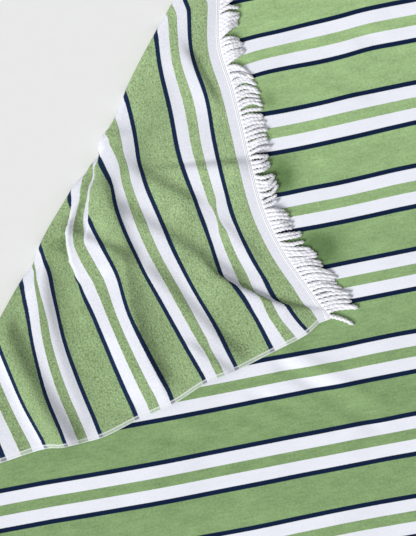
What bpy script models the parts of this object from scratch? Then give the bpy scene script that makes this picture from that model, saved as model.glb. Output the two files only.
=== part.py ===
"""Striped beach towel with a cord fringe on both ends, laid flat with one corner folded over.

Metres, +Z up. X runs across the towel from side hem to side hem, Y along it, and Z = 0 is
the surface that it lies on. A point of the cloth is named by "side", its distance from the
side hem that is folded over, and "end", its distance from the folded end. The fringes have
places just past the ends.
"""
import math

import bmesh
import bpy
import numpy as np

# Towel
WIDTH = 0.900
LENGTH = 1.736
THICKNESS = 0.003

# Fold: where its line meets the end and the side, both measured from the folded corner
FOLD_ON_END = 0.583
FOLD_ON_SIDE = 0.706
BEND_RADIUS = 0.0055
LAYER_GAP = 0.001
SETTLE = 0.080  # the flap comes down on the lower layer this far from the fold

# Fringe: a heading tape with cords, drawn here as broad teeth of three cords each
SEWING_GAP = 0.0004
TAPE_WIDTH = 0.007
CORD_LENGTH = 0.039
TEETH = 45
TOOTH_SHARE = 0.7  # of the pitch
NEAR_FOLD = (0.550, 0.655)  # stretch of the end, from the side hem, that goes round the fold
FINE_STEP = 0.005

# Mesh of the cloth
COLUMNS = 34
FLAP_ROWS = 24
BEND_ROWS = 8
OPEN_ROWS = 15  # past the bend, as far as the lower layer strays
PROBE = 0.0005  # step used to find the cloth's slope

# How far the folded-over cloth has crept towards the far end, in metres, at distances from
# the side hem. A row for each distance from the folded end. "hem" is how far the hem
# itself has moved in from its straight line.
STRAY_SIDES = (0.00, 0.12, 0.24, 0.36, 0.48)
STRAY = (
    # end, hem, at each side distance
    (0.014, 0.010, (0.056, 0.072, 0.080, 0.072, 0.046)),
    (0.042, 0.003, (0.049, 0.090, 0.086, 0.065, 0.042)),
    (0.098, -0.004, (0.052, 0.076, 0.073, 0.061, 0.034)),
    (0.156, -0.009, (0.050, 0.062, 0.071, 0.058, 0.045)),
    (0.212, -0.010, (0.042, 0.055, 0.064, 0.063, 0.060)),
    (0.270, -0.020, (0.034, 0.044, 0.046, 0.055, 0.050)),
    (0.326, -0.023, (0.031, 0.036, 0.030, 0.015, 0.010)),
    (0.384, -0.028, (0.030, 0.028, 0.014, 0.005, 0.000)),
    (0.440, -0.021, (0.024, 0.018, 0.000, 0.000, 0.000)),
    (0.498, -0.018, (0.000, 0.001, 0.000, 0.000, 0.000)),
    (0.560, -0.016, (0.000, 0.000, 0.000, 0.000, 0.000)),
    (0.700, 0.000, (0.000, 0.000, 0.000, 0.000, 0.000)),
)
HEM_FADE = 0.200  # the hem's own shift dies out over this
OPEN_REACH = 0.240  # what the lower layer shares of the creep dies out over this
FOLD_HOLD = 0.100  # nearer the fold than this, the cloth creeps along it and not over it

# The folded edge is not quite straight. A row for each dent in it.
DENTS = (
    # name, distance up the fold from the side hem, depth, half-width
    ("pleat", 0.540, 0.011, 0.042),
    ("nick", 0.371, 0.004, 0.020),
)
DENT_REACH = 0.060

# Soft ridges on the flap, each along a straight run. Both ends of the run are places
# on the cloth as it lies, measured from the side hem and the folded end.
RIDGES = (
    # name, from side, end, to side, end, height, half-width
    ("corner step", 0.190, 0.234, 0.062, 0.142, 0.011, 0.017),
    ("corner step foot", 0.062, 0.142, 0.010, 0.092, 0.006, 0.014),
    ("upper swell", 0.300, 0.235, 0.200, 0.175, 0.007, 0.017),
    ("middle swell", 0.230, 0.290, 0.080, 0.316, 0.006, 0.015),
    ("pleat ridge", 0.335, 0.268, 0.262, 0.318, 0.008, 0.010),
    ("second pleat", 0.292, 0.328, 0.200, 0.352, 0.006, 0.009),
    ("low swell", 0.240, 0.400, 0.150, 0.430, 0.006, 0.014),
    ("hem swell", 0.150, 0.500, 0.030, 0.480, 0.007, 0.022),
    ("end swell", 0.440, 0.125, 0.340, 0.105, 0.005, 0.016),
)

FOLD_LINE = math.hypot(FOLD_ON_END, FOLD_ON_SIDE)
UP_FOLD = (FOLD_ON_END / FOLD_LINE, FOLD_ON_SIDE / FOLD_LINE)
FROM_FOLD = (FOLD_ON_SIDE / FOLD_LINE, -FOLD_ON_END / FOLD_LINE)
HALF_BEND = math.pi * BEND_RADIUS / 2


def through(x, knots, values):
    """Smooth curve through values at knots, level past both ends, for an array x."""
    knots = np.asarray(knots, dtype=float)
    x = np.clip(x, knots[0], knots[-1])
    left = np.clip(np.searchsorted(knots, x, side="right") - 1, 0, len(knots) - 2)
    slopes = np.gradient(values, knots, axis=0)
    pick = np.arange(len(x))
    start, stop = values[left, pick], values[left + 1, pick]
    span = knots[left + 1] - knots[left]
    u = (x - knots[left]) / span
    ease = u * u * (3 - 2 * u)
    rise = u * (1 - u) ** 2 * span * slopes[left, pick]
    fall = u * u * (u - 1) * span * slopes[left + 1, pick]
    return start + ease * (stop - start) + rise + fall


def fold_place(side, end):
    """Distance past the fold line, negative on the flap, and distance up it."""
    x, y = side, FOLD_ON_SIDE - end
    return x * FROM_FOLD[0] + y * FROM_FOLD[1], x * UP_FOLD[0] + y * UP_FOLD[1]


def stray(side, end):
    """Where a point of the cloth lies once it has crept, still as if unfolded."""
    past, _ = fold_place(side, end)
    ends = [row[0] for row in STRAY]
    hems = np.repeat([[row[1]] for row in STRAY], len(side), axis=1)
    creeps = []
    for row in STRAY:
        sides = np.repeat([[value] for value in row[2]], len(side), axis=1)
        creeps.append(through(side, STRAY_SIDES, sides))
    share = (1 - np.clip(past / OPEN_REACH, 0, 1) ** 2) ** 4
    creep = share * through(end, ends, np.array(creeps))
    hem = share * through(end, ends, hems) * np.exp(-((side / HEM_FADE) ** 2))
    held = np.exp(-((past / FOLD_HOLD) ** 2))
    shift = hem - held * (hem + creep * FOLD_ON_END / FOLD_ON_SIDE)
    return side + shift, end + creep


def ridge_height(side, end):
    """Sum of the ridges at places on the cloth as it lies."""
    height = np.zeros_like(side)
    for _, side_a, end_a, side_b, end_b, top, half_width in RIDGES:
        run = np.array((side_b - side_a, end_b - end_a))
        part = ((side - side_a) * run[0] + (end - end_a) * run[1]) / (run @ run)
        part = np.clip(part, 0, 1)
        off = np.hypot(side - side_a - part * run[0], end - end_a - part * run[1])
        height += top * np.exp(-((off / half_width) ** 2))
    return height


def section(past):
    """Across and up positions of the middle of the cloth, round the bend and back."""
    turn = np.clip(math.pi / 2 - past / BEND_RADIUS, 0, math.pi)
    across = np.maximum(np.abs(past), HALF_BEND) - BEND_RADIUS * np.sin(turn)
    back = np.clip((-past - HALF_BEND) / SETTLE, 0, 1)
    drop = 2 * BEND_RADIUS - THICKNESS - LAYER_GAP
    up = THICKNESS / 2 + BEND_RADIUS * (1 - np.cos(turn)) - drop * back * back * (3 - 2 * back)
    return across, up, back


def lie(side, end):
    """Middle of the cloth in space, for arrays of places on the cloth."""
    side, end = stray(side, end)
    past, along = fold_place(side, end)
    across, up, back = section(past)
    for _, place, depth, half_width in DENTS:
        bay = np.exp(-(((along - place) / half_width) ** 2) - (past / DENT_REACH) ** 2)
        across = across + depth * bay
    up = up + ridge_height(side, end) * np.clip(back * 3, 0, 1)
    x = -WIDTH / 2 + along * UP_FOLD[0] + across * FROM_FOLD[0]
    y = LENGTH / 2 - FOLD_ON_SIDE + along * UP_FOLD[1] + across * FROM_FOLD[1]
    return np.stack((x, y, up), axis=1)


def skins(side, end):
    """Front and back skins of the cloth, half its thickness from the middle."""
    middle = lie(side, end)
    outward = np.cross(
        lie(side + PROBE, end) - lie(side - PROBE, end),
        lie(side, end - PROBE) - lie(side, end + PROBE),
    )
    outward /= np.linalg.norm(outward, axis=1, keepdims=True)
    return middle + outward * THICKNESS / 2, middle - outward * THICKNESS / 2


def finish(name, colour, roughness):
    """Plain material, its colour given as the screen shows it."""
    material = bpy.data.materials.new(name)
    material.use_nodes = True
    shader = material.node_tree.nodes["Principled BSDF"]
    shader.inputs["Base Color"].default_value = (*(part**2.2 for part in colour), 1)
    shader.inputs["Roughness"].default_value = roughness
    shader.inputs["Metallic"].default_value = 0
    return material


def slab(name, places, cells, material):
    """Closed solid over cells of the cloth. places gives (side, end) for each corner key."""
    keys = list(places)
    number = {key: index for index, key in enumerate(keys)}
    spots = np.array([places[key] for key in keys])
    front, back = skins(spots[:, 0], spots[:, 1])
    faces, rim = [], {}
    for cell in cells:
        ring = [number[key] for index, key in enumerate(cell) if key != cell[index - 1]]
        faces.append(ring)
        faces.append([index + len(keys) for index in reversed(ring)])
        for a, b in zip(ring, ring[1:] + ring[:1]):
            if (b, a) in rim:
                del rim[(b, a)]
            else:
                rim[(a, b)] = True
    for a, b in rim:
        faces.append([b, a, a + len(keys), b + len(keys)])
    mesh = bpy.data.meshes.new(name)
    mesh.from_pydata(np.concatenate((front, back)).tolist(), [], faces)
    tidy = bmesh.new()
    tidy.from_mesh(mesh)
    bmesh.ops.recalc_face_normals(tidy, faces=tidy.faces)
    tidy.to_mesh(mesh)
    tidy.free()
    mesh.materials.append(material)
    mesh.shade_smooth()
    mesh.set_sharp_from_angle(angle=math.radians(50))
    thing = bpy.data.objects.new(name, mesh)
    bpy.context.scene.collection.objects.link(thing)
    return thing


def row_reach(past):
    """First and last distance up the fold that a row of cloth this far past it covers."""
    x = past * FROM_FOLD[0]
    y = FOLD_ON_SIDE - past * FROM_FOLD[1]
    first = max(-x / UP_FOLD[0], (y - LENGTH) / UP_FOLD[1])
    last = min((WIDTH - x) / UP_FOLD[0], y / UP_FOLD[1])
    return first, last


def cloth_rows():
    """Distances past the fold of the mesh's rows, with a row through every corner."""
    corners = [fold_place(x, y)[0] for x in (0, WIDTH) for y in (0, LENGTH)]
    rows = list(np.linspace(min(corners), -HALF_BEND, FLAP_ROWS))
    rows += list(np.linspace(-HALF_BEND, HALF_BEND, BEND_ROWS)[1:])
    rows += list(np.linspace(HALF_BEND, OPEN_REACH, OPEN_ROWS)[1:])
    return rows + sorted(corners)[1:]


def towel():
    """The cloth: rows that run along the fold, cut off at its hems and ends."""
    places, cells = {}, []
    rows = cloth_rows()
    for row, past in enumerate(rows):
        first, last = row_reach(past)
        for column in range(COLUMNS + 1):
            along = first + (last - first) * column / COLUMNS
            side = past * FROM_FOLD[0] + along * UP_FOLD[0]
            end = FOLD_ON_SIDE - past * FROM_FOLD[1] - along * UP_FOLD[1]
            places[corner_key(row, column, rows)] = (side, end)
    for row in range(len(rows) - 1):
        for column in range(COLUMNS):
            cells.append(
                (
                    corner_key(row, column, rows),
                    corner_key(row + 1, column, rows),
                    corner_key(row + 1, column + 1, rows),
                    corner_key(row, column + 1, rows),
                )
            )
    return slab("towel", places, cells, finish("green velour", (0.56, 0.70, 0.46), 0.9))


def corner_key(row, column, rows):
    """The first and last rows are single points, the towel's corners."""
    return (row, 0) if row in (0, len(rows) - 1) else (row, column)


def cuts(start, stop, step, also=()):
    """Places from start to stop, no more than step apart, and those of also in between."""
    count = max(1, math.ceil((stop - start) / step - 1e-6))
    places = [start + (stop - start) * index / count for index in range(count + 1)]
    places += [place for place in also if start + 1e-6 < place < stop - 1e-6]
    return sorted(set(places))


def fringe(name, at_end, outward, folded):
    """Comb along one end: a tape close to the cloth, and teeth that leave it."""
    rows = [FOLD_ON_END + past / FROM_FOLD[0] for past in cloth_rows()] if folded else []
    pitch = WIDTH / TEETH
    inner = at_end + outward * SEWING_GAP
    outer = inner + outward * TAPE_WIDTH
    tip = outer + outward * CORD_LENGTH
    places, cells = {}, []

    def ladder(left, right, near, far, step):
        """Cells between two lines, from the near to the far distance."""
        levels = cuts(0, abs(far - near), step)
        for low, high in zip(levels, levels[1:]):
            ring = [(left, low), (right, low), (right, high), (left, high)]
            keys = [(round(x, 6), round(near + outward * y, 6)) for x, y in ring]
            places.update((key, key) for key in keys)
            cells.append(keys if outward < 0 else keys[::-1])

    for tooth in range(TEETH):
        start, stop = tooth * pitch, (tooth + 1) * pitch
        left = start + pitch * (1 - TOOTH_SHARE) / 2
        right = stop - pitch * (1 - TOOTH_SHARE) / 2
        close = folded and NEAR_FOLD[0] < start < NEAR_FOLD[1]
        step = FINE_STEP if close else WIDTH
        for from_x, to_x, has_cord in ((start, left, 0), (left, right, 1), (right, stop, 0)):
            lines = cuts(from_x, to_x, step, rows)
            for line_a, line_b in zip(lines, lines[1:]):
                ladder(line_a, line_b, inner, outer, TAPE_WIDTH)
                if has_cord:
                    ladder(line_a, line_b, outer, tip, FINE_STEP if close else CORD_LENGTH / 2)
    return slab(name, places, cells, finish(name + " cotton", (0.93, 0.93, 0.96), 0.85))


def main():
    for thing in list(bpy.data.objects):
        bpy.data.objects.remove(thing)
    towel()
    fringe("fringe_folded_end", 0.0, -1, folded=True)
    fringe("fringe_far_end", LENGTH, 1, folded=False)


main()
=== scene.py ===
import math

import bpy
import numpy as np
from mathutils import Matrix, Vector


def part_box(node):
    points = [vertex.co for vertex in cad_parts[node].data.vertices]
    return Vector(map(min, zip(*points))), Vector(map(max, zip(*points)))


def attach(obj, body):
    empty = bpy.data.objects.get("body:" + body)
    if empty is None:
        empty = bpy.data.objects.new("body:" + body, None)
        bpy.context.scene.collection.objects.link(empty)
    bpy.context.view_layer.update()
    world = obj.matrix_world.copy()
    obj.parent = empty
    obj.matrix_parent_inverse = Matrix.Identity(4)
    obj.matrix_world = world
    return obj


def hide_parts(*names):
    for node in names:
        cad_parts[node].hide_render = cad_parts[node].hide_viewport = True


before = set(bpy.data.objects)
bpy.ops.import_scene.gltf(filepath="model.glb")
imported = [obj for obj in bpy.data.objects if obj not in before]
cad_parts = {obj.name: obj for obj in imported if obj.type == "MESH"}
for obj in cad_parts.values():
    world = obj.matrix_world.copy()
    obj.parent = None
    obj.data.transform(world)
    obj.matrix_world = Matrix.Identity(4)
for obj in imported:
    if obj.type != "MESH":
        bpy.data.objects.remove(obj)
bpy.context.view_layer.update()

# A striped beach towel laid flat, its velour face up, with one corner folded over so that
# the terry reverse shows. X runs across the towel and Y along it. A place on the cloth is
# named by "side", its distance from the side hem that is folded over, and "end", its
# distance from the folded end. Fringes have places before 0 and past the length.

mm = 0.001
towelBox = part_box("towel")
print("frame loaded")

# The towel's cloth, its fold and its grid.
cloth = {
    "width": 2 * towelBox[1].x,
    "length": 2 * towelBox[1].y,
    "thickness": 2.8 * mm,
    "hemThickness": 1.5 * mm,
    "hemWidth": 6 * mm,
    "foldOnEnd": 583 * mm,  # where the fold line meets the end, from the folded corner
    "foldOnSide": 706 * mm,  # and where it meets the side hem
    "bendRadius": 5.5 * mm,
    "layerGap": 2.2 * mm,
    "settle": 80 * mm,  # the flap comes down on the lower layer this far from the fold
    "roll": (4.5 * mm, 38 * mm, 27 * mm),  # height, place and half-width of the fold's roll
    "liftFrom": 0.3125,  # round the bend, folds grow from this share of the half turn,
    "liftOver": 0.625,  # over this one
    "openReach": 240 * mm,  # the lower layer's share of the creep dies out over this
    "foldHold": 100 * mm,  # nearer the fold, the cloth creeps along it and not over it
    "hemFade": 200 * mm,  # the side hem's shift dies out over this
    "creepRounds": 6,
    "wavesGrow": 30 * mm,  # past the bend, the flat face's waves grow over this,
    "driftGrows": 60 * mm,  # its drift over this,
    "swellsGrow": 16 * mm,  # and the flap's swells over this
    "dentReach": 60 * mm,  # how far a dent in the folded edge reaches over the cloth
    "foldCells": 148,  # grid cells from the corner to either end of the fold line
    "fineFrom": 205 * mm,  # over the pleats, between these distances from the folded end,
    "fineTo": 305 * mm,  # they are halved
    "shownEnd": 870 * mm,  # cells are small as far as this, which the picture shows
    "shownCell": 11 * mm,
    "farCell": 50 * mm,
    "hemCells": (0.7 * mm, 2 * mm),  # extra columns and rows, this far from each edge
    "hemStep": (0.7, 0.6),  # the cloth thickens from this share of the hem's width, over this
    "edgeShare": 0.35,  # of its thickness at the very edge
    "edgeRound": 2 * mm,
}

# How far the folded-over cloth has crept towards the far end, in millimetres. A row for
# each distance from the folded end; a column for each distance from the side hem.
creepSides = (0, 60, 120, 180, 240, 300, 360, 420, 480)
creepTable = {
    14: (57, 73, 87, 92, 87, 78, 70, 65, 42),
    42: (48, 71, 84, 89, 84, 75, 63, 60, 40),
    98: (51, 58, 76, 76, 75, 73, 62, 51, 34),
    156: (48, 54, 63, 69, 71, 72, 61, 50, 45),
    212: (40, 49, 57, 65, 68, 64, 60, 56, 54),
    270: (33, 40, 44, 40, 45, 37, 12, 6, 10),
    326: (33, 35, 36, 38, 30, 9, -4, -6, 0),
    384: (30, 31, 29, 20, 12, 8, 4, 2, 0),
    440: (23, 25, 18, 5, -2, -4, -2, 0, 0),
    498: (-7, 0, 0, 0, 0, 0, 0, 0, 0),
    560: (0,) * 9,
}

# How far the side hem has moved in from its straight line, by distance from the end.
hemShift = {14: 10, 42: 3, 98: -4, 156: -9, 212: -10, 270: -20, 326: -23, 384: -28, 440: -21,
            498: -18, 560: -16, 700: 0}

# Tucks, where the cloth doubles under itself. Each lies along a run that may bow, in
# millimetres, towards the far end. "hidden" is how much cloth it takes in at five even
# places along the run; the cloth is slack over "span", whose middle may lie off the run.
# The side named "high" is on top: 1 is the one towards the far end, -1 the other. It
# stands up by "rise", over "flat" if given, and comes down over "decay". A pinch, which
# only gathers the cloth, is made "wide".
tucks = {
    "pleat by the fold": {
        "run": ((350, 230), (262, 276)), "hidden": (66, 58, 46, 28, 10),
        "span": 114, "offset": 18, "rise": 7, "flat": 14, "decay": 42, "high": -1,
    },
    "second pleat": {
        "run": ((294, 320), (180, 329)), "hidden": (0, 24, 29, 20, 4),
        "span": 114, "rise": 2, "decay": 30, "high": -1,
    },
    "corner step": {
        "run": ((22, -14), (172, 128)), "bow": 22, "hidden": (0, 10, 22, 9, 0),
        "span": 60, "rise": 8, "decay": 50, "high": 1,
    },
    "pinch at the fold": {
        "run": ((262, 412), (150, 413)), "hidden": (11, 12, 9, 5, 0),
        "span": 60, "rise": 0, "decay": 20, "high": 1, "wide": 7,
    },
    "pinch by the fringe": {
        "run": ((224, 70), (178, 70)), "hidden": (0, 8, 12, 9, 0),
        "span": 56, "rise": 0, "decay": 14, "high": 1, "wide": 7,
    },
    "pinch by the hem": {
        "run": ((46, 184), (8, 182)), "hidden": (0, 4, 5, 5, 3),
        "span": 40, "rise": 2, "decay": 10, "high": -1,
    },
}
tuckShape = {
    "width": 6,  # least width of the step across a tuck, in millimetres
    "widen": (0.5, 1.5),  # what it hides widens it by this, and on the lower layer by this more
    "below": (12, 20),  # which starts this far up the flap and is whole over this
    "fade": 25 * mm,  # past its run's ends
    "whole": 12 * mm,  # it stands up whole where it hides this much
}

# Soft swells of the flap, as it lies, in millimetres. At its run's start and stop each has
# a height and a width on its steep side, which is the one towards the folded end. The width
# on its gentle side is the same all along.
swells = {
    # start, stop, heights, steep widths, gentle width, bow, sharp
    "upper swell": ((292, 235), (240, 187), (10, 8), (15, 9), 44, 0, 2),
    "long swell": ((250, 277), (118, 172), (11, 7), (16, 10), 60, -3, 2),
    "swell below the crest": ((292, 288), (204, 285), (9, 6), (12, 10), 28, 0, 2),
    "middle swell": ((182, 296), (20, 309), (13, 16), (18, 13), 64, 9, 1.4),
    "lower swell": ((152, 269), (20, 205), (11, 9), (17, 12), 110, 0, 2),
    "edge swell": ((413, 107), (368, 99), (8, 6), (6, 5), 26, 0, 2),
    "pressed line": ((286, 186), (257, 104), (3, 9), (4, 9), 24, 0, 2),
    "crest beside the pleat": ((296, 347), (238, 368), (9, 6), (8, 8), 22, 0, 2),
    "valley's brim": ((251, 349), (206, 307), (9, 10), (11, 11), 40, 0, 2),
    "valley's wall": ((303, 320), (264, 348), (12, 6), (9, 9), 16, 0, 2),
    "beside the notch": ((34, 245), (-4, 219), (5, 4), (6, 6), 60, 0, 2),
    "soft ridge": ((175, 366), (105, 370), (5, 5), (28, 28), 12, 0, 2),
    "roll by the fold": ((258, 397), (15, 429), (12, 4), (13, 12), 36, 13, 2),
    "hem roll": ((165, 484), (-10, 463), (12, 19), (14, 20), 20, 6, 2),
    "end roll": ((180, 148), (130, 126), (3, 3), (8, 8), 14, 0, 2),
}

# Grooves pressed into the flap, as it lies, and wrinkles of the face that lies flat: start,
# stop, height and half-width, in millimetres.
grooves = {"pressed line": ((291, 184), (266, 103), -1.5, 4)}
wrinkles = {
    "upper right": ((660, 212), (735, 262), -3, 9),
    "far right": ((760, 200), (800, 245), -3, 9),
    "lower middle": ((560, 628), (665, 728), -2.4, 10),
    "lower middle ridge": ((570, 606), (680, 700), 2.4, 12),
    "below the hem": ((520, 664), (600, 716), -3, 8),
    "low left": ((450, 692), (545, 712), -2.7, 8),
    "low corner": ((392, 698), (440, 706), -2.7, 7),
}

# Dents in the folded edge, or bulges where the depth is below 0: distance up the fold from
# the side hem, depth and half-width, in millimetres.
dents = {
    "nick": (371, 4, 20),
    "low bulge": (425, -2, 35),
    "below the pleat": (517, 5.5, 13),
    "pleat": (553, 12, 24),
    "pleat's crest": (565, -6, 12),
    "long dent": (602, 5.5, 40),
    "long bulge": (690, -3, 80),
    "high bulge": (770, -2.5, 60),
}

# How far these reach past the ends of their runs, in millimetres.
runFades = {"swell": 22, "groove": 8, "wrinkle": 16}

# Long low waves of the flat face: radians in a metre across and along, and a start. Their
# sum is raised by a few of their heights, so that most of it is above 0.
waves = ((23, 9, 0), (-14, 31, 2), (47, 19, 1), (8, 53, 0))
waveShape = {"height": 0.5 * mm, "raised": 2.4}

# How far the stripes of the flat face have drifted towards the far end, in millimetres.
driftSides = (200, 350, 480, 560, 600, 640, 680, 720, 760, 800)
driftTable = {
    156: (0, 0, 0, -12, -6, 1, 4, 4, 1, 0),
    212: (0, 0, 0, -3, 0, 4, 6, 4.5, 0.7, 0.5),
    270: (0, 0, 0, 1, 4.5, 5, 4, 1.8, 0.8, 0),
    326: (0, 0, 0, 4, 6, 6, 5, 3.6, 1.6, 0),
    384: (0, 0, 2, 4, 5.4, 4.6, 4.4, 2.8, 0.8, 0),
    440: (0, 1, 2, 3, 3.5, 4, 3.6, 2.6, 1.2, 0.5),
    498: (0, 1, 2, 2, 2.4, 2.4, 1.7, 1.2, 0.6, 0),
    554: (0, 1, 1, 1, 1, 1, 0.9, 0.4, 0, 0),
    612: (0, 1, 1, 0.3, 0.9, 0.9, -0.3, -1, -0.5, 0),
    668: (0, 1.6, 1, 0, 0, 0.2, -0.3, -0.5, -0.5, 0),
    725: (-0.7, 1.1, 0, -0.8, -0.9, -1.5, -1, -1.5, -1, 0),
    780: (-0.5, 1.3, 0.4, -0.6, -0.8, -1.2, -1.4, -1, -1, 0),
    860: (0, 0, 0, -2, -3, -3, -2.5, -2, -1, 0),
    1000: (0,) * 10,
}

# How much the green darkens, partly as pile that lies the other way and partly as painted shade:
# by distance from the folded end, and in painted shadows, in millimetres from the side hem and
# that end.
pileAndShadeEnds = (150, 250, 350, 450, 550, 650, 740, 860, 1200, 1736)
pileAndShadeShares = (0, 0.07, 0.16, 0.28, 0.38, 0.47, 0.52, 0.44, 0.3, 0.4)
# Painted shadows beside and below the fringe and in the second pleat's valley, and painted shade
# over the flap's corner and middle.
paintedShadows = {
    # middle, reach across and along, share
    "by the fringe": ((605, 359), (22, 30), 1.0),
    "below it": ((638, 472), (30, 28), 1.0),
    "above it": ((607, 250), (12, 16), 0.5),
    "by the second pleat": ((252, 358), (13, 17), 0.55),
    "flap's corner": ((60, 110), (110, 160), 0.26),
    "flap's middle": ((130, 330), (130, 100), 0.26),
}

# The fold line's length, and the unit vectors along it and off it.
foldLine = math.hypot(cloth["foldOnEnd"], cloth["foldOnSide"])
upFold = (cloth["foldOnEnd"] / foldLine, cloth["foldOnSide"] / foldLine)
fromFold = (cloth["foldOnSide"] / foldLine, -cloth["foldOnEnd"] / foldLine)
halfBend = math.pi * cloth["bendRadius"] / 2


def easeStep(x):
    # 0 below 0, 1 above 1, and 3x^2 - 2x^3 between
    x = np.clip(x, 0, 1)
    return x * x * (3 - 2 * x)


def through(x, knots, values):
    # Cubic Hermite curve through values at knots, level past both ends. A knot's slope is
    # that between its neighbours. values has a row a knot, and may have a column an x.
    knots = np.asarray(knots, dtype=float)
    values = np.asarray(values, dtype=float)
    if values.ndim == 1:
        values = np.repeat(values[:, None], x.size, axis=1)
    x = np.clip(x, knots[0], knots[-1])
    left = np.clip(np.searchsorted(knots, x, side="right") - 1, 0, len(knots) - 2)
    slopes = np.gradient(values, knots, axis=0)
    pick = np.arange(x.size)
    span = knots[left + 1] - knots[left]
    u = (x - knots[left]) / span
    rise = u * (1 - u) ** 2 * span * slopes[left, pick]
    fall = u * u * (u - 1) * span * slopes[left + 1, pick]
    start, stop = values[left, pick], values[left + 1, pick]
    return start + easeStep(u) * (stop - start) + rise + fall


def alongRun(run, side, end, bow=0):
    # Share of the way along a run, distance off it, positive on the side towards the far
    # end, distance past its ends, and its unit vector across. A bow moves the run off its
    # straight line by bow * 4 * share * (1 - share).
    start = np.array(run[0]) * mm
    way = np.array(run[1]) * mm - start
    length = np.hypot(*way)
    way /= length
    across = np.array((-way[1], way[0]))
    if across[1] < 0:
        across = -across
    u = (side - start[0]) * way[0] + (end - start[1]) * way[1]
    off = (side - start[0]) * across[0] + (end - start[1]) * across[1]
    beyond = np.maximum(-u, 0) + np.maximum(u - length, 0)
    share = np.clip(u / length, 0, 1)
    return share, off - bow * mm * 4 * share * (1 - share), beyond, across


def foldPlace(side, end):
    # Distance past the fold line, negative on the flap, and distance up it.
    x, y = side, cloth["foldOnSide"] - end
    return x * fromFold[0] + y * fromFold[1], x * upFold[0] + y * upFold[1]


def tabled(table, sides, side, end):
    # A table's value, smooth through its columns and then its rows.
    rows = [through(side / mm, sides, row) for row in table.values()]
    return through(end / mm, list(table), np.array(rows)) * mm


def takeTucks(side, end, past):
    # Each tuck draws both its sides in: off its line by q, the cloth moves
    # -hidden * (step(q / width + 1/2) - 1/2 - (q - offset) / span) across, which is nothing
    # beyond the span. Its high side's height is a bell of half-width decay, past flat.
    aside, ahead, lift = 0, 0, 0
    widen, widenBelow = tuckShape["widen"]
    start, over = tuckShape["below"]
    below = easeStep((past / mm + start) / over)
    for tuck in tucks.values():
        t, q, beyond, across = alongRun(tuck["run"], side, end, tuck.get("bow", 0))
        full = through(t, np.linspace(0, 1, 5), tuck["hidden"]) * mm
        full = np.maximum(full, 0) * np.exp(-((beyond / tuckShape["fade"]) ** 2))
        least = (tuckShape["width"] + tuck.get("wide", 0)) * mm
        width = least + full * (widen + widenBelow * below)
        span = np.maximum(tuck["span"] * mm, width)
        step = easeStep(q / width + 0.5)
        slack = np.clip((q - tuck.get("offset", 0) * mm) / span, -0.5, 0.5)
        move = -full * (step - 0.5 - slack)
        aside = aside + move * across[0]
        ahead = ahead + move * across[1]
        high = step if tuck["high"] > 0 else 1 - step
        away = np.maximum(q * tuck["high"] - width / 2 - tuck.get("flat", 0) * mm, 0)
        top = tuck["rise"] * mm * np.clip(full / tuckShape["whole"], 0, 1)
        lift = lift + top * high * np.exp(-((away / (tuck["decay"] * mm)) ** 2))
    return aside, ahead, lift


def creptPlace(side, end):
    # Where a place on the cloth lies once it has crept, still as if unfolded, and how far
    # the tucks lift it. The creep is read where the place comes to lie, so it is found in
    # rounds. At the fold line the cloth moves along that line, and past it the creep is
    # times (1 - (past / openReach)^2)^4.
    past, _ = foldPlace(side, end)
    share = (1 - np.clip(past / cloth["openReach"], 0, 1) ** 2) ** 4
    held = np.exp(-((past / cloth["foldHold"]) ** 2))
    hem = share * through(end / mm, list(hemShift), list(hemShift.values())) * mm
    hem = hem * np.exp(-((side / cloth["hemFade"]) ** 2))
    shift = np.zeros_like(side)
    for _ in range(cloth["creepRounds"]):
        aside, ahead, lift = takeTucks(side + shift, end, past)
        creep = share * (tabled(creepTable, creepSides, side + shift, end) + ahead)
        sideways = hem + share * aside
        slide = creep * cloth["foldOnEnd"] / cloth["foldOnSide"]
        shift = sideways - held * (sideways + slide)
    return side + shift, end + creep, lift


def bellsAlong(table, fade, side, end):
    # Sum over runs of height * exp(-(off / half)^2 - (beyond / fade)^2).
    height = np.zeros_like(side)
    for start, stop, high, half in table.values():
        _, off, beyond, _ = alongRun((start, stop), side, end)
        bell = np.exp(-((off / (half * mm)) ** 2) - (beyond / (fade * mm)) ** 2)
        height += high * mm * bell
    return height


def swellHeight(side, end):
    # Sum of the swells and grooves at places of the flap as it lies. Across a run each
    # swell is a bell of its steep or gentle width, and past its ends it fades like one.
    # Its steep side falls from its crest like exp(-|off / width|^sharp).
    height = np.zeros_like(side)
    for start, stop, high, steep, gentle, bow, sharp in swells.values():
        share, off, beyond, _ = alongRun((start, stop), side, end, bow)
        width = np.where(off < 0, np.interp(share, (0, 1), steep), gentle) * mm
        fade = min(gentle, runFades["swell"]) * mm
        power = np.where(off < 0, sharp, 2)
        bell = np.exp(-(np.abs(off / width) ** power) - (beyond / fade) ** 2)
        height += np.interp(share, (0, 1), high) * mm * bell
    return height + bellsAlong(grooves, runFades["groove"], side, end)


def faceHeight(side, end):
    # Height of the flat face's wrinkles over long low waves.
    height = bellsAlong(wrinkles, runFades["wrinkle"], side, end)
    total = sum(np.sin(side * across + end * along + start) for across, along, start in waves)
    return height + waveShape["height"] * (total + waveShape["raised"])


def pileAndShadeShare(side, end):
    # Share of the green's darkening: pile that lies the other way, painted shade and painted
    # shadows.
    share = through(end / mm, pileAndShadeEnds, pileAndShadeShares)
    for at, reach, most in paintedShadows.values():
        u = (side / mm - at[0]) / reach[0]
        v = (end / mm - at[1]) / reach[1]
        share = share + most * np.exp(-(u * u) - v * v)
    return share


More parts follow.
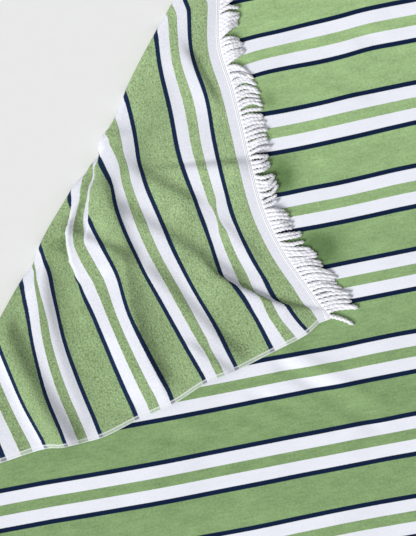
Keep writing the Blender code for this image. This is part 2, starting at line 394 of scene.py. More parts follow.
def section(past, lift):
    # Across and up positions of the middle of the cloth: along the lower layer, round a
    # half circle of the bend radius, and back over it while it comes down. lift stands
    # off square to the cloth, and fades out where the cloth turns under.
    radius = cloth["bendRadius"]
    turn = np.clip(math.pi / 2 - past / radius, 0, math.pi)
    back = easeStep((-past - halfBend) / cloth["settle"])
    drop = 2 * radius - cloth["thickness"] - cloth["layerGap"]
    lift = lift * easeStep((turn / math.pi - cloth["liftFrom"]) / cloth["liftOver"])
    across = np.maximum(np.abs(past), halfBend) - (radius + lift) * np.sin(turn)
    up = cloth["thickness"] / 2 + radius - (radius + lift) * np.cos(turn) - drop * back
    return across, up


def layMiddle(side, end):
    # Middle of the cloth in space, for arrays of places on it: the section's across and up
    # at each distance past the fold line, moved along that line by the distance up it.
    past, _ = foldPlace(side, end)
    aside, along, lift = creptPlace(side, end)
    opened = easeStep((past - halfBend) / cloth["wavesGrow"])
    drift = tabled(driftTable, driftSides, side, end)
    along = along + drift * easeStep((past - halfBend) / cloth["driftGrows"])
    past, reach = foldPlace(aside, along)
    flap = easeStep((-past - halfBend) / cloth["swellsGrow"])
    lift = lift + swellHeight(aside, along) * flap
    rollHeight, rollPlace, rollHalf = cloth["roll"]
    lift = lift + rollHeight * np.exp(-(((past + rollPlace) / rollHalf) ** 2))
    across, up = section(past, lift)
    for place, depth, half in dents.values():
        bay = ((reach / mm - place) / half) ** 2 + (past / cloth["dentReach"]) ** 2
        across = across + depth * mm * np.exp(-bay)
    up = up + np.maximum(faceHeight(side, end), 0) * opened
    x = -cloth["width"] / 2 + reach * upFold[0] + across * fromFold[0]
    y = cloth["length"] / 2 - cloth["foldOnSide"] + reach * upFold[1] + across * fromFold[1]
    return np.stack((x, y, up), axis=-1)


def stepsBetween(start, stop, first, last):
    # Places from start to stop, after start, whose steps grow evenly from first to last.
    count = math.ceil(2 * (stop - start) / (first + last))
    u = np.arange(1, count + 1) / count
    grown = (first * u + (last - first) * u * u / 2) / (first + (last - first) / 2)
    return start + (stop - start) * grown


def unit(vectors):
    # Vectors over their own lengths.
    return vectors / np.maximum(np.linalg.norm(vectors, axis=-1, keepdims=True), 1e-12)


def slabFaces(rows, columns):
    # Corners of a closed slab: a front grid, a back grid numbered after it, and the rim.
    # Each cell is cut from its lower left to its upper right, as the fold line runs.
    index = np.arange(rows * columns).reshape(rows, columns)
    a, b = index[:-1, :-1].ravel(), index[1:, :-1].ravel()
    c, d = index[1:, 1:].ravel(), index[:-1, 1:].ravel()
    front = np.concatenate((np.stack((a, b, d), 1), np.stack((b, c, d), 1)))
    under = rows * columns
    back = front[:, ::-1] + under
    edge = np.concatenate((index[0, ::-1], index[1:, 0], index[-1, 1:], index[-2:0:-1, -1]))
    after = np.roll(edge, -1)
    rim = np.stack((after, edge, edge + under, after + under), 1)
    return front, back, rim


def thicken(sides, ends, half):
    # A slab on a grid of places: its two skins stand off its middle by half, square to it.
    middle = layMiddle(sides.ravel(), ends.ravel()).reshape(*sides.shape, 3)
    down, right = np.gradient(middle, axis=0), np.gradient(middle, axis=1)
    off = unit(np.cross(down, right)) * half
    points = np.concatenate((middle + off, middle - off)).reshape(-1, 3)
    return points, slabFaces(*sides.shape)


def meshPiece(name, points, faceSets, uvs, materials):
    # A mesh from arrays: points, then sets of faces, one material each, and a UV a point.
    mesh = bpy.data.meshes.new(name)
    mesh.vertices.add(len(points))
    mesh.vertices.foreach_set("co", np.asarray(points, dtype=np.float32).ravel())
    corners = np.concatenate([faces.ravel() for faces, _ in faceSets])
    sizes = np.concatenate([np.full(len(faces), faces.shape[1]) for faces, _ in faceSets])
    kinds = np.concatenate([np.full(len(faces), kind) for faces, kind in faceSets])
    mesh.loops.add(len(corners))
    mesh.loops.foreach_set("vertex_index", corners.astype(np.int32))
    mesh.polygons.add(len(sizes))
    starts = np.concatenate(([0], np.cumsum(sizes)[:-1]))
    mesh.polygons.foreach_set("loop_start", starts.astype(np.int32))
    mesh.polygons.foreach_set("material_index", kinds.astype(np.int32))
    for layer, values in uvs.items():
        flat = mesh.uv_layers.new(name=layer)
        flat.data.foreach_set("uv", np.asarray(values, np.float32)[corners].ravel())
    mesh.update(calc_edges=True)
    mesh.validate()
    mesh.shade_smooth()
    for material in materials:
        mesh.materials.append(material)
    piece = bpy.data.objects.new(name, mesh)
    bpy.context.scene.collection.objects.link(piece)
    return piece


class Socket:
    # One output socket of a node tree. Sums on it add Math nodes to its tree.
    def __init__(self, tree, link=None):
        self.tree = tree
        self.link = link

    def add(self, kind, settings=None, inputs=None, output=0):
        # A node of any kind: its settings first, then its sockets' values or links. Returns
        # one of its outputs.
        node = self.tree.nodes.new(kind)
        for name, value in (settings or {}).items():
            setattr(node, name, value)
        for name, value in (inputs or {}).items():
            if isinstance(value, Socket):
                self.tree.links.new(value.link, node.inputs[name])
            else:
                node.inputs[name].default_value = value
        return Socket(self.tree, node.outputs[output])

    def math(self, operation, *values, clamp=False):
        settings = {"operation": operation, "use_clamp": clamp}
        return self.add("ShaderNodeMath", settings, dict(enumerate(values)))

    def __add__(self, other):
        return self.math("ADD", self, other)

    def __radd__(self, other):
        return self.math("ADD", other, self)

    def __sub__(self, other):
        return self.math("SUBTRACT", self, other)

    def __rsub__(self, other):
        return self.math("SUBTRACT", other, self)

    def __mul__(self, other):
        return self.math("MULTIPLY", self, other)

    def __rmul__(self, other):
        return self.math("MULTIPLY", other, self)

    def __truediv__(self, other):
        return self.math("DIVIDE", self, other)

    def __rtruediv__(self, other):
        return self.math("DIVIDE", other, self)

    def above(self, edge, blur):
        # 0 below edge and 1 above it, over a blur's width
        return self.math("ADD", (self - edge) / blur, 0.5, clamp=True)

    def between(self, low, high, blur):
        return self.above(low, blur) * (1 - self.above(high, blur))

    def noise(self, scale, detail=2.0, rough=0.5):
        inputs = {"Vector": self, "Scale": scale, "Detail": detail, "Roughness": rough}
        return self.add("ShaderNodeTexNoise", None, inputs)

    def stretched(self, x, y):
        # This place times x and y.
        settings = {"operation": "MULTIPLY"}
        return self.add("ShaderNodeVectorMath", settings, {0: self, 1: (x, y, 1.0)})

    def blend(self, other, share, mode="MIX"):
        # This colour, changed into other by share.
        settings = {"data_type": "RGBA", "blend_type": mode}
        return self.add("ShaderNodeMix", settings, {0: share, 6: self, 7: other}, 2)

    def shaded(self, shade):
        # This colour times a number.
        grey = self.add("ShaderNodeCombineColor", None, {0: shade, 1: shade, 2: shade})
        return self.blend(grey, 1.0, "MULTIPLY")

    def plain(self, colour):
        # A colour to blend others into.
        node = self.add("ShaderNodeRGB")
        node.link.default_value = colour
        return node

    def uv(self, layer):
        # A place in a UV map, and its two parts.
        place = self.add("ShaderNodeUVMap", {"uv_map": layer})
        parts = [self.add("ShaderNodeSeparateXYZ", None, {0: place}, axis) for axis in (0, 1)]
        return place, *parts

    def pingpong(self, half):
        # Up and down between 0 and half.
        return self.math("PINGPONG", self, half)


def seen(red, green, blue):
    # Linear colour of one given as the screen shows it, from 0 to 255.
    parts = np.array((red, green, blue)) / 255
    linear = np.where(parts <= 0.04045, parts / 12.92, ((parts + 0.055) / 1.055) ** 2.4)
    return (*(float(part) for part in linear), 1.0)


def newMaterial(name, look):
    # A material with its values that are the same all over, and its start and shader.
    material = bpy.data.materials.new(name)
    material.use_nodes = True
    tree = material.node_tree
    shader = tree.nodes["Principled BSDF"]
    for socket, value in look["shader"].items():
        shader.inputs[socket].default_value = value
    return material, Socket(tree), shader


def clothShader(roughness, sheen, sheenRoughness):
    # The shader's own values, with hardly any gloss.
    return {
        "Roughness": roughness,
        "Specular IOR Level": 0.15,
        "Sheen Weight": sheen,
        "Sheen Roughness": sheenRoughness,
    }


def finishMaterial(start, shader, colour, height, look):
    # Links the colour, and a normal bumped by the height, to the shader.
    strength, distance = look["bump"]
    inputs = {"Height": height, "Strength": strength, "Distance": distance}
    bump = start.add("ShaderNodeBump", None, inputs)
    start.tree.links.new(colour.link, shader.inputs["Base Color"])
    start.tree.links.new(bump.link, shader.inputs["Normal"])


# The stripes, by distance from the nearer end, and the colours of both faces.
stripes = {
    "endBand": 14 * mm,  # white, at both ends
    "pairMiddle": 70 * mm,  # of the first thin green stripe, from the end
    "repeat": 114 * mm,
    "thinHalf": 7.3 * mm,  # half the thin green stripe
    "whiteTo": 24.3 * mm,  # white as far as this from the pair's middle
    "navyTo": 30.8 * mm,  # and navy as far as this
    "blur": 0.7 * mm,
    "tufts": 900,  # in a metre, at the edges of the stripes
    "whitePlain": 0.8,  # share of the grain that white doesn't show
}
faceDyes = {
    "green": seen(158, 188, 133),
    "pileAndShadeGreen": seen(98, 126, 80),  # green fully darkened, for pile that lies the other way and for painted shade
    "navy": seen(7, 27, 60),
    "white": seen(234, 236, 244),
}
reverseDyes = {
    "green": seen(157, 182, 136),
    "tint": (1.02, 1.0, 0.94, 1),  # the green loops vary from green to this times it
    # green fully darkened, for pile that lies the other way and for painted shade
    "pileAndShadeGreen": seen(104, 127, 84),
    "navy": seen(18, 39, 72),
    "white": seen(228, 230, 238),
}

# The looks of the two faces and the hem. Grains are given in a metre, or across and along.
velourLook = {
    "shader": clothShader(0.92, 0.1, 0.45),
    "stray": 0.7 * mm,  # single tufts stray this far over a stripe's edge
    "fine": 300,
    "streaks": (40, 300),
    "patches": (26, 44),
    "shades": (0.9, 0.3, 0.7),  # how much those three change the colour,
    "heights": (0.6, 0.25, 0.4),  # and the height
    "bump": (0.45, 0.8 * mm),  # strength and distance
}
terryLook = {
    "shader": clothShader(0.95, 0.08, 0.5),
    "stray": 1.6 * mm,
    "dye": 210,
    "loops": (540, 460),
    "clumps": 360,
    "patches": 50,
    "shades": (0.6, 2.1, 0.5),
    "heights": (0.8, 0.9),
    "bump": (0.6, 1.0 * mm),
}
hemLook = {
    "innerRail": (4.2 * mm, 5.6 * mm),  # from and to, from the edge
    "outerRail": 1.2 * mm,
    "blur": 0.6 * mm,
    "palerStripes": 0.27,
    "palerRails": 0.4,
    "stitch": 1.3 * mm,  # half the pitch of its stitches
    "thread": 0.7 * mm,
    "slant": 0.7,
    "threadShade": 0.2,
    "flatter": 0.7,  # share of the pile's height that it lacks
    "tint": seen(236, 239, 244),
    "shade": seen(140, 154, 150),
}


def stripeColour(start, green, dyes, stray):
    # Bands by the distance from the nearer end. The distance from the middle of the
    # nearest stripe pair runs up and down between 0 and half the repeat. stray, in
    # metres, is how far single tufts stray over a band's edge. Returns the colour, the
    # place on the cloth with its two parts, and where the cloth is white.
    place, side, end = start.uv("cloth")
    # An attribute gives how far the green darkens, for pile that lies the other way and for
    # painted shade and shadows.
    pileAndPaintedShade = start.add("ShaderNodeAttribute", {"attribute_name": "pileAndPaintedShade"}, None, 2)
    nearEnd = start.math("MINIMUM", end, cloth["length"] - end)
    edge = nearEnd + (place.noise(stripes["tufts"], 1.0) - 0.5) * stray
    fromPair = (edge - stripes["pairMiddle"]).pingpong(stripes["repeat"] / 2)
    blur = stripes["blur"]
    inBand = edge.above(stripes["endBand"], blur)
    isNavy = fromPair.between(stripes["whiteTo"], stripes["navyTo"], blur) * inBand
    isWhite = fromPair.between(stripes["thinHalf"], stripes["whiteTo"], blur)
    isWhite = 1 - inBand * (1 - isWhite)
    colour = green.blend(dyes["pileAndShadeGreen"], pileAndPaintedShade).blend(dyes["white"], isWhite)
    return colour.blend(dyes["navy"], isNavy), place, side, end, isWhite


def hemFinish(start, colour, side, end):
    # The woven hem: its stripes are paler, between two pale rails, with small stitches.
    blur = hemLook["blur"]
    fromHem = start.math("MINIMUM", side, cloth["width"] - side)
    isHem = 1 - fromHem.above(cloth["hemWidth"], blur)
    rails = fromHem.between(*hemLook["innerRail"], blur)
    rails = rails + (1 - fromHem.above(hemLook["outerRail"], blur))
    paler = isHem * hemLook["palerStripes"] + rails * hemLook["palerRails"]
    slant = (end + side * hemLook["slant"]).pingpong(hemLook["stitch"])
    threads = isHem * (1 - rails) * slant.above(hemLook["thread"], blur)
    colour = colour.blend(hemLook["tint"], paler)
    return colour.blend(hemLook["shade"], threads * hemLook["threadShade"]), isHem


def finishCloth(start, shader, bands, shade, height, look):
    # Shades the stripes and adds the hem. White shows less of the grain.
    colour, _, side, end, isWhite = bands
    spread = 1 - isWhite * stripes["whitePlain"]
    colour, isHem = hemFinish(start, colour.shaded(1 + shade * spread), side, end)
    height = height * spread * (1 - isHem * hemLook["flatter"])
    finishMaterial(start, shader, colour, height, look)


def velourMaterial():
    # The face: short cut pile, smooth, lying a little this way and that in soft patches.
    # Its green is darker where the pile lies the other way, and where shade and shadows are
    # painted.
    material, start, shader = newMaterial("green and navy velour", velourLook)
    green = start.plain(faceDyes["green"])
    bands = stripeColour(start, green, faceDyes, velourLook["stray"])
    place = bands[1]
    fine = place.noise(velourLook["fine"], 3.0, 0.75)
    streaks = place.stretched(*velourLook["streaks"]).noise(1.0, 2.0)
    patches = place.stretched(*velourLook["patches"]).noise(1.0, 5.0, 0.75)
    shades, heights = velourLook["shades"], velourLook["heights"]
    shade = (fine - 0.5) * shades[0] + (streaks - 0.5) * shades[1] + (patches - 0.5) * shades[2]
    height = fine * heights[0] + streaks * heights[1] + patches * heights[2]
    finishCloth(start, shader, bands, shade, height, velourLook)
    return material


def terryMaterial():
    # The reverse: uncut loops, about two millimetres apart, with shade between them.
    material, start, shader = newMaterial("green and navy terry", terryLook)
    dye = start.uv("cloth")[0].noise(terryLook["dye"], 2.0).above(0.5, 0.3)
    green = start.plain(reverseDyes["green"]).blend(reverseDyes["tint"], dye, "MULTIPLY")
    bands = stripeColour(start, green, reverseDyes, terryLook["stray"])
    place = bands[1]
    cells = start.add(
        "ShaderNodeTexVoronoi",
        {"feature": "SMOOTH_F1"},
        {"Vector": place.stretched(*terryLook["loops"]), "Scale": 1.0, "Smoothness": 0.6},
    )
    loops = 1 - cells
    clumps = place.noise(terryLook["clumps"], 3.0, 0.8)
    patches = place.noise(terryLook["patches"], 4.0, 0.7)
    shades, heights = terryLook["shades"], terryLook["heights"]
    shade = (loops - 0.55) * shades[0] + (clumps - 0.5) * shades[1] + (patches - 0.5) * shades[2]
    height = loops * heights[0] + clumps * heights[1]
    finishCloth(start, shader, bands, shade, height, terryLook)
    return material


def makeTowel():
    # A grid of places on the cloth, dense as far as the fold line reaches, laid by
    # layMiddle. Its corners lie on that line, so the shares along both sides mirror each
    # other. The cloth is thinner at the hems, which round off as the root of the distance
    # from their edge.
    count = cloth["foldCells"]
    share = np.linspace(0, 1, count + 1)
    halves = (share[1:] + share[:-1]) / 2
    fine = halves > cloth["fineFrom"] / cloth["foldOnSide"]
    fine = fine & (halves < cloth["fineTo"] / cloth["foldOnSide"])
    share = np.sort(np.concatenate((share, halves[fine])))
    side = (1 - share[::-1]) * cloth["foldOnEnd"]
    end = share * cloth["foldOnSide"]
    shown = cloth["shownCell"]
    side = np.append(side, stepsBetween(side[-1], cloth["width"], side[1], shown))
    end = np.append(end, stepsBetween(end[-1], cloth["shownEnd"], end[1], shown))
    end = np.append(end, stepsBetween(end[-1], cloth["length"], shown, cloth["farCell"]))
    hems = np.array(cloth["hemCells"])
    side = np.sort(np.concatenate((side, hems, cloth["width"] - hems)))
    end = np.sort(np.concatenate((end, hems, cloth["length"] - hems)))
    sides, ends = np.meshgrid(side, end)
    fromHem = np.minimum(sides, cloth["width"] - sides)
    stepFrom, stepOver = cloth["hemStep"]
    swell = easeStep((fromHem - stepFrom * cloth["hemWidth"]) / (stepOver * cloth["hemWidth"]))
    rounded = np.sqrt(np.clip(fromHem / cloth["edgeRound"], 0, 1))
    edge = cloth["edgeShare"] + (1 - cloth["edgeShare"]) * rounded
    half = (cloth["hemThickness"] + (cloth["thickness"] - cloth["hemThickness"]) * swell) / 2
    points, (front, back, rim) = thicken(sides, ends, (half * edge)[..., None])
    uv = np.stack((sides.ravel(), ends.ravel()), 1)
    sets = [(front, 0), (back, 1), (rim, 1)]
    materials = [velourMaterial(), terryMaterial()]
    towel = meshPiece("towel_cloth", points, sets, {"cloth": np.concatenate((uv, uv))}, materials)
    # How far the green darkens at each point, for pile that lies the other way and for painted
    # shade and shadows.
    pileAndPaintedShade = pileAndShadeShare(sides.ravel(), ends.ravel())
    layer = towel.data.attributes.new("pileAndPaintedShade", "FLOAT", "POINT")
    layer.data.foreach_set("value", np.concatenate((pileAndPaintedShade, pileAndPaintedShade)).astype(np.float32))
    return towel


# The fringes: cords sewn under a heading tape.
fringe = {
    "pitch": 6.5 * mm,
    "radius": 3 * mm,
    "tapeLap": 2.5 * mm,  # the tape covers the cloth's edge by this
    "tapeWidth": 7 * mm,
    "tapeThickness": 2.8 * mm,
    "tapeProfile": (0.86, 1.02, 1.04, 1.04, 1.0, 0.95, 0.88, 0.8),  # of it, from lap to edge
    "tapeColumns": 331,
    "leaves": 0.6,  # cords start at this share of the tape's width
    "feel": (4 * mm, 1 * mm),  # their directions are measured over this, ahead and aside
    "leanPower": 1.6,
    "wave": (0.7 * mm, 9, 4),  # reach, radians along a cord, and radians between cords
    "fall": (1.5, 4),  # a cord is down after 1 / 1.5 of its length, and clear after 1 / 4
    "clear": 0.4 * mm,  # above the cloth
    "squash": 0.8,  # share of the radius at which a cord's middle rests
    "stack": (0.4 * mm, 1.2 * mm, 40),  # further height, its waves, and radians between cords
    "sides": 6,
    "rings": 12,
    "taper": ((0, 0.1, 0.5, 0.9, 1), (0.8, 1, 1, 0.85, 0.45)),  # places along, and sizes there
    "strand": 0.16,  # share of the radius by which a cord's two strands bulge
    "seeds": {-1: 7, 1: 11},  # for the folded and the far end
    "white": seen(247, 247, 251),
    # painted shade in the grooves between strands, and along the tape's rows of stitching
    "groove": seen(176, 177, 196),
    "gap": seen(96, 92, 108),  # the darkest shade between cords
}

# Clumps of cords along the folded end, in millimetres from the side hem: where each
# starts and stops, how far its cords reach, how far their tips lean away from the hem at
# its start and stop, how much they bow, and how high they lie.
cordClumps = (
    # start, stop, reach, lean, lean, bow, lift
    (0, 5, 20, -24, -24, 0, 0),
    (5, 28, 36, -10, -14, 2, 1),
    (28, 48, 41, -14, -16, 2, 2),
    (48, 64, 37, -12, -13, 2, 3),
    (64, 82, 37, -17, -20, 3, 4),
    (82, 95, 32, -12, -14, 2, 1),
    (95, 108, 35, -11, -12, -2, 1),
    (108, 121, 33, -14, -14, -3, 2),
    (121, 132, 29, -10, -11, -4, 1),
    (132, 143, 30, -7, -8, -3, 2),
    (143, 184, 26, -3, -12, -1, 4),
    (184, 199, 20, 2, 2, 0, -1),
    (199, 211, 26, 4, 1, -5, 2),
    (211, 236, 25, 4, -7, -6, 3),
    (236, 264, 25, 2, -9, -1, 4),
    (264, 325, 29, 0, -8, 1, 2),
    (325, 335, 31, -9, -9, 4, 2),
    (335, 345, 31, -10, -10, 4, 1),
    (345, 358, 31, -9, -9, 4, 2),
    (358, 378, 29, -9, -11, 5, 1),
    (378, 396, 24, -14, -18, 2, 3),
    (396, 442, 29, 4, -16, 1, 4),
    (442, 486, 30, 3, -13, 1, 4),
)
# The other clumps are drawn between these limits, in this order.
looseClumps = {"width": (16, 44), "leanStart": (-2, 9), "leanStop": (-9, 2), "reach": (29, 37),
               "bow": (-3, 3), "lift": (0, 4)}
# How far single cords stray: reach and radius by a share, and the rest in millimetres.
strays = {"reach": 0.08, "lean": 2.2, "bow": 1.5, "lift": 1.2, "radius": 0.08}

cordLook = {
    "shader": clothShader(0.9, 0.1, 0.5),
    "fuzz": 600,  # in a metre
    "patches": 90,
    "fray": 0.3,  # how far the fuzz moves a groove, in turns
    "grooveShade": (0.05, 0.5),  # at least, and with the fuzz
    "dashesFrom": 0.19,  # turns from the cord's top
    "dashes": 0.8,
    "heights": (1.1, 0.7),
    "bump": (0.6, 0.7 * mm),
}
tapeLook = {
    "shader": clothShader(0.9, 0.08, 0.5),
    "rows": 1.15 * mm,  # half the pitch of the rows of stitching
    "stitch": 1.3 * mm,  # and of their stitches
    "thread": 0.7 * mm,
    "rowBlur": 0.7 * mm,
    "blur": 0.6 * mm,
    "rowShade": (0.15, 0.2),
    "weave": 1400,  # in a metre
    "weaveShade": (0.95, 0.08),
    "heights": (0.3, 0.8),
    "bump": (0.7, 0.8 * mm),
}


def cordMaterial():
    # Twisted cotton: two strands wind round each cord, with a little shade in the groove
    # between and dashes of it down the cord's sides. A turn of 1/4 is the cord's top, and
    # turn * 2 + along is whole on a strand.
    material, start, shader = newMaterial("white twisted cord", cordLook)
    _, turn, along = start.uv("cord")
    spot = start.add("ShaderNodeTexCoord", output=3)
    fuzz = spot.noise(cordLook["fuzz"], 3.0, 0.7)
    patch = spot.noise(cordLook["patches"], 2.0)
    groove = (along + turn * 2 + fuzz * cordLook["fray"]).pingpong(0.5) * 2
    aside = (turn - 0.25).pingpong(0.5).above(cordLook["dashesFrom"], 0.08)
    dashes = aside * groove.above(0.5, 0.5) * patch.above(0.52, 0.14)
    least, more = cordLook["grooveShade"]
    colour = start.plain(fringe["white"])
    colour = colour.blend(fringe["groove"], groove.above(0.6, 0.5) * (least + more * fuzz))
    colour = colour.blend(fringe["gap"], dashes * cordLook["dashes"])
    heights = cordLook["heights"]
    finishMaterial(start, shader, colour, fuzz * heights[0] - groove * heights[1], cordLook)
    return material


def tapeMaterial():
    # Heading tape: plain weave with three rows of stitching that run along it.
    material, start, shader = newMaterial("white heading tape", tapeLook)
    place, side, across = start.uv("cord")
    rows = across.pingpong(tapeLook["rows"]).above(tapeLook["thread"], tapeLook["rowBlur"])
    stitches = side.pingpong(tapeLook["stitch"]).above(tapeLook["thread"], tapeLook["blur"])
    shades, weaves, heights = (tapeLook[name] for name in ("rowShade", "weaveShade", "heights"))
    colour = start.plain(fringe["white"])
    colour = colour.blend(fringe["groove"], rows * (shades[0] + shades[1] * stitches))
    weave = place.noise(tapeLook["weave"], 1.0)
    colour = colour.shaded(weaves[0] + weaves[1] * weave)
    finishMaterial(start, shader, colour, weave * heights[0] - rows * heights[1], tapeLook)
    return material


def cordRoots(outward):
    # Every cord's place along the end, its reach, lean, bow, lift and radius, and a draw
    # between -1 and 1 for its waves. Those in the clumps' table follow it, and the rest
    # fall into clumps of their own by a seed.
    count = round(cloth["width"] / fringe["pitch"])
    sides = (np.arange(count) + 0.5) / count * cloth["width"]
    reach, lean, bow, lift = (np.zeros(count) for _ in range(4))
    draw = np.random.default_rng(fringe["seeds"][outward])
    edges = list(cordClumps) if outward < 0 else []
    start = edges[-1][1] if edges else 0
    while start < cloth["width"] / mm:
        drawn = {name: draw.uniform(*limits) for name, limits in looseClumps.items()}
        stop = start + drawn["width"]
        names = ("reach", "leanStart", "leanStop", "bow", "lift")
        edges.append((start, stop, *(drawn[name] for name in names)))
        start = stop
    for start, stop, far, leanStart, leanStop, bend, height in edges:
        inside = (sides / mm >= start) & (sides / mm < stop)
        t = (sides[inside] / mm - start) / (stop - start)
        reach[inside] = far
        lean[inside] = leanStart + (leanStop - leanStart) * t
        bow[inside] = bend
        lift[inside] = height
    jitter = draw.uniform(-1, 1, (6, count))
    reach = reach * (1 + strays["reach"] * jitter[0])
    lean = lean + strays["lean"] * jitter[1]
    bow = bow + strays["bow"] * jitter[2]
    lift = lift + strays["lift"] * jitter[3]
    thick = fringe["radius"] * (1 + strays["radius"] * jitter[4])
    return sides, reach * mm, lean * mm, bow * mm, lift * mm, thick, jitter[5]


def cordPaths(atEnd, outward):
    # Middle lines of the cords, and the cords' radii. Each leaves the tape's outer edge
    # square to it, leans as its clump does, waves a little, and comes down from the
    # edge's height to what it lies on. Along t from 0 to 1, its lean is
    # t^leanPower * lean + sin(pi t) * bow.
    sides, reach, lean, bow, lift, thick, draw = cordRoots(outward)
    t = np.linspace(0, 1, fringe["rings"])[None, :]
    root = atEnd + outward * fringe["leaves"] * fringe["tapeWidth"]
    ahead, aside = fringe["feel"]
    start = layMiddle(sides, np.full_like(sides, root))
    further = layMiddle(sides, np.full_like(sides, root + outward * ahead))
    beside = layMiddle(sides + aside, np.full_like(sides, root))
    out, along = unit(further - start), unit(beside - start)
    ahead = t * (reach + (1 - fringe["leaves"]) * fringe["tapeWidth"])[:, None]
    aside = t ** fringe["leanPower"] * lean[:, None] + np.sin(math.pi * t) * bow[:, None]
    high, turns, apart = fringe["wave"]
    aside = aside + high * t * np.sin(turns * t + apart * draw[:, None])
    path = start[:, None] + out[:, None] * ahead[..., None] + along[:, None] * aside[..., None]
    past, _ = foldPlace(sides, np.full_like(sides, root))
    onTop = (past < -halfBend) & (outward < 0)
    rest = np.where(onTop, cloth["thickness"] + fringe["clear"], 0)
    rest = rest + fringe["radius"] * fringe["squash"]
    fallTimes, riseTimes = fringe["fall"]
    fall = easeStep(t * fallTimes)
    usual, more, apart = fringe["stack"]
    stack = usual + more * np.sin(draw * apart)
    height = path[..., 2] * (1 - fall) + (rest + stack)[:, None] * fall
    height = height + np.sin(math.pi * t) ** 2 * np.maximum(lift, 0)[:, None]
    path[..., 2] = np.maximum(height, rest[:, None] * easeStep(t * riseTimes))
    return path, thick


def cordTubes(paths, thick):
    # A ring of points round each place of each path: the middle plus the radius times
    # (cos a * across + sin a * up). The radius tapers to the tip, and its two strands turn
    # a quarter from ring to ring: radius * (1 + strand * cos(2 a + pi * ring)).
    count, rings, _ = paths.shape
    ahead = unit(np.gradient(paths, axis=1))
    across = unit(np.cross(ahead, (0, 0, 1)))
    up = np.cross(across, ahead)
    sides = fringe["sides"]
    angle = np.arange(sides) / sides * 2 * math.pi
    taper = np.interp(np.linspace(0, 1, rings), *fringe["taper"])
    ringNumber = np.arange(rings)[:, None]
    wound = 1 + fringe["strand"] * np.cos(2 * angle + math.pi * ringNumber)
    size = ((thick[:, None] * taper)[:, :, None] * wound)[..., None]
    ring = np.cos(angle)[None, None, :, None] * across[:, :, None]
    ring = ring + np.sin(angle)[None, None, :, None] * up[:, :, None]
    points = paths[:, :, None] + size * ring
    index = np.arange(count * rings * sides).reshape(count, rings, sides)
    a, b = index[:, :-1], index[:, 1:]
    quads = np.stack((a, np.roll(a, -1, 2), np.roll(b, -1, 2), b), -1).reshape(-1, 4)
    caps = np.concatenate((index[:, 0, ::-1], index[:, -1]))
    turn = np.broadcast_to(angle / (2 * math.pi), (count, rings, sides))
    along = np.broadcast_to(ringNumber / 2, (count, rings, sides))
    uv = np.stack((turn, along), -1).reshape(-1, 2)
    return points.reshape(-1, 3), quads, caps, uv


def tapeSlab(atEnd, outward):
    # The heading tape: a thin slab over places just past the end, thinner at its far edge,
    # with its inner edge sunk in the cloth.
    half = fringe["tapeThickness"] / 2 * np.array(fringe["tapeProfile"])[:, None, None]
    across = np.linspace(-fringe["tapeLap"], fringe["tapeWidth"], len(half))
    across = atEnd + outward * across
    if outward < 0:
        across = across[::-1]
        half = half[::-1]
    side = np.linspace(0, cloth["width"], fringe["tapeColumns"])
    sides, ends = np.meshgrid(side, across)
    uv = np.stack((sides.ravel(), np.abs(ends - atEnd).ravel()), 1)
    return *thicken(sides, ends, half), np.concatenate((uv, uv))


def makeFringe(name, atEnd, outward, cord, tape):
    # Cords and tape as one mesh. outward is -1 at the folded end and 1 at the far one.
    points, quads, caps, uv = cordTubes(*cordPaths(atEnd, outward))
    tapePoints, tapeFaces, tapeUv = tapeSlab(atEnd, outward)
    sets = [(quads, 0), (caps, 0)]
    sets += [(faces + len(points), 1) for faces in tapeFaces]
    points = np.concatenate((points, tapePoints))
    return meshPiece(name, points, sets, {"cord": np.concatenate((uv, tapeUv))}, [cord, tape])


towelCloth = makeTowel()
print("towel laid:", len(towelCloth.data.polygons), "faces")
cordCotton, tapeCotton = cordMaterial(), tapeMaterial()
nearFringe = makeFringe("fringe_near", 0.0, -1, cordCotton, tapeCotton)
farFringe = makeFringe("fringe_far", cloth["length"], 1, cordCotton, tapeCotton)
print("fringes sewn on:", len(nearFringe.data.polygons), "faces each")

parts = (
    (towelCloth, "towel", "striped_cotton"),
    (nearFringe, "fringe_folded_end", "fringe_cotton"),
    (farFringe, "fringe_far_end", "fringe_cotton"),
)
for piece, node, finish in parts:
    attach(piece, "root")
    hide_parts(node)


# The floor, the lights and the camera.
studio = {
    "pixel": 1.396 * mm,  # real size of a pixel of the picture at the towel
    "tall": 536,  # the picture's height in pixels
    "centre": (0.0305, 0.3956),  # what the picture's middle shows
    "turn": math.radians(-10.5),
    "lens": 100,  # in millimetres
    "sensor": 36,
    "floor": seen(232, 232, 231),
    "sky": (0.97, 0.98, 1.0),
    "skyStrength": 0.42,
    "keyTurn": math.radians(222),  # from the picture's right, counterclockwise
    "keyHeight": math.radians(38),
    "keySpread": math.radians(28),
    "keyStrength": 3.06,
    "keyAway": 3,
    "towelLevel": 5 * mm,  # the towel's usual height
    "floorHalf": 4,
    "floorCells": 8,
    "floorDrop": 0.3 * mm,
}
boardLook = {
    "shader": clothShader(0.8, 0.0, 0.5),
    "grain": 60,  # in a metre
    "shades": (0.985, 0.03),
    "bump": (0.05, 0.5 * mm),
}


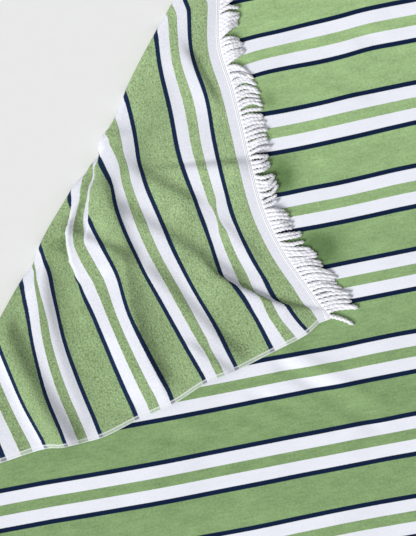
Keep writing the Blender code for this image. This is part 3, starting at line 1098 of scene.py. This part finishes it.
def floorMaterial():
    # Matt pale board with hardly any grain.
    material, start, shader = newMaterial("pale board", boardLook)
    grain = start.add("ShaderNodeTexCoord", output=3).noise(boardLook["grain"], 3.0)
    least, more = boardLook["shades"]
    colour = start.plain(studio["floor"]).shaded(least + more * grain)
    finishMaterial(start, shader, colour, grain, boardLook)
    return material


def makeFloor():
    # A square round the towel, a grid of a few cells.
    half = studio["floorHalf"]
    across = np.linspace(-half, half, studio["floorCells"] + 1)
    x, y = np.meshgrid(across, across[::-1])
    points = np.stack((x.ravel(), y.ravel(), np.full(x.size, -studio["floorDrop"])), 1)
    front, _, _ = slabFaces(*x.shape)
    floor = meshPiece("floor", points, [(front, 0)], {}, [floorMaterial()])


def makeLights():
    # An even sky, and a wide sun low on the picture's lower left.
    scene = bpy.context.scene
    world = bpy.data.worlds.new("soft room")
    scene.world = world
    world.use_nodes = True
    background = world.node_tree.nodes["Background"]
    background.inputs["Color"].default_value = (*studio["sky"], 1)
    background.inputs["Strength"].default_value = studio["skyStrength"]
    light = bpy.data.lights.new("window", "SUN")
    light.energy = studio["keyStrength"]
    light.angle = studio["keySpread"]
    lamp = bpy.data.objects.new("window", light)
    angle = studio["turn"] + studio["keyTurn"]
    level = math.cos(studio["keyHeight"])
    way = Vector((math.cos(angle) * level, math.sin(angle) * level, math.sin(studio["keyHeight"])))
    lamp.location = Vector((*studio["centre"], 0)) + way * studio["keyAway"]
    lamp.rotation_euler = way.to_track_quat("Z", "Y").to_euler()
    scene.collection.objects.link(lamp)


def makeCamera():
    # Straight above the picture's middle, at the distance that gives its real height.
    scene = bpy.context.scene
    camera = bpy.data.cameras.new("above")
    camera.lens = studio["lens"]
    camera.sensor_width = studio["sensor"]
    tall = studio["tall"] * studio["pixel"]
    seat = bpy.data.objects.new("above", camera)
    away = tall * studio["lens"] / studio["sensor"]
    seat.location = (*studio["centre"], studio["towelLevel"] + away)
    seat.rotation_euler = (0, 0, studio["turn"])
    scene.collection.objects.link(seat)
    scene.camera = seat
    scene.view_settings.view_transform = "Standard"


makeFloor()
makeLights()
makeCamera()
print("room, light and camera ready")
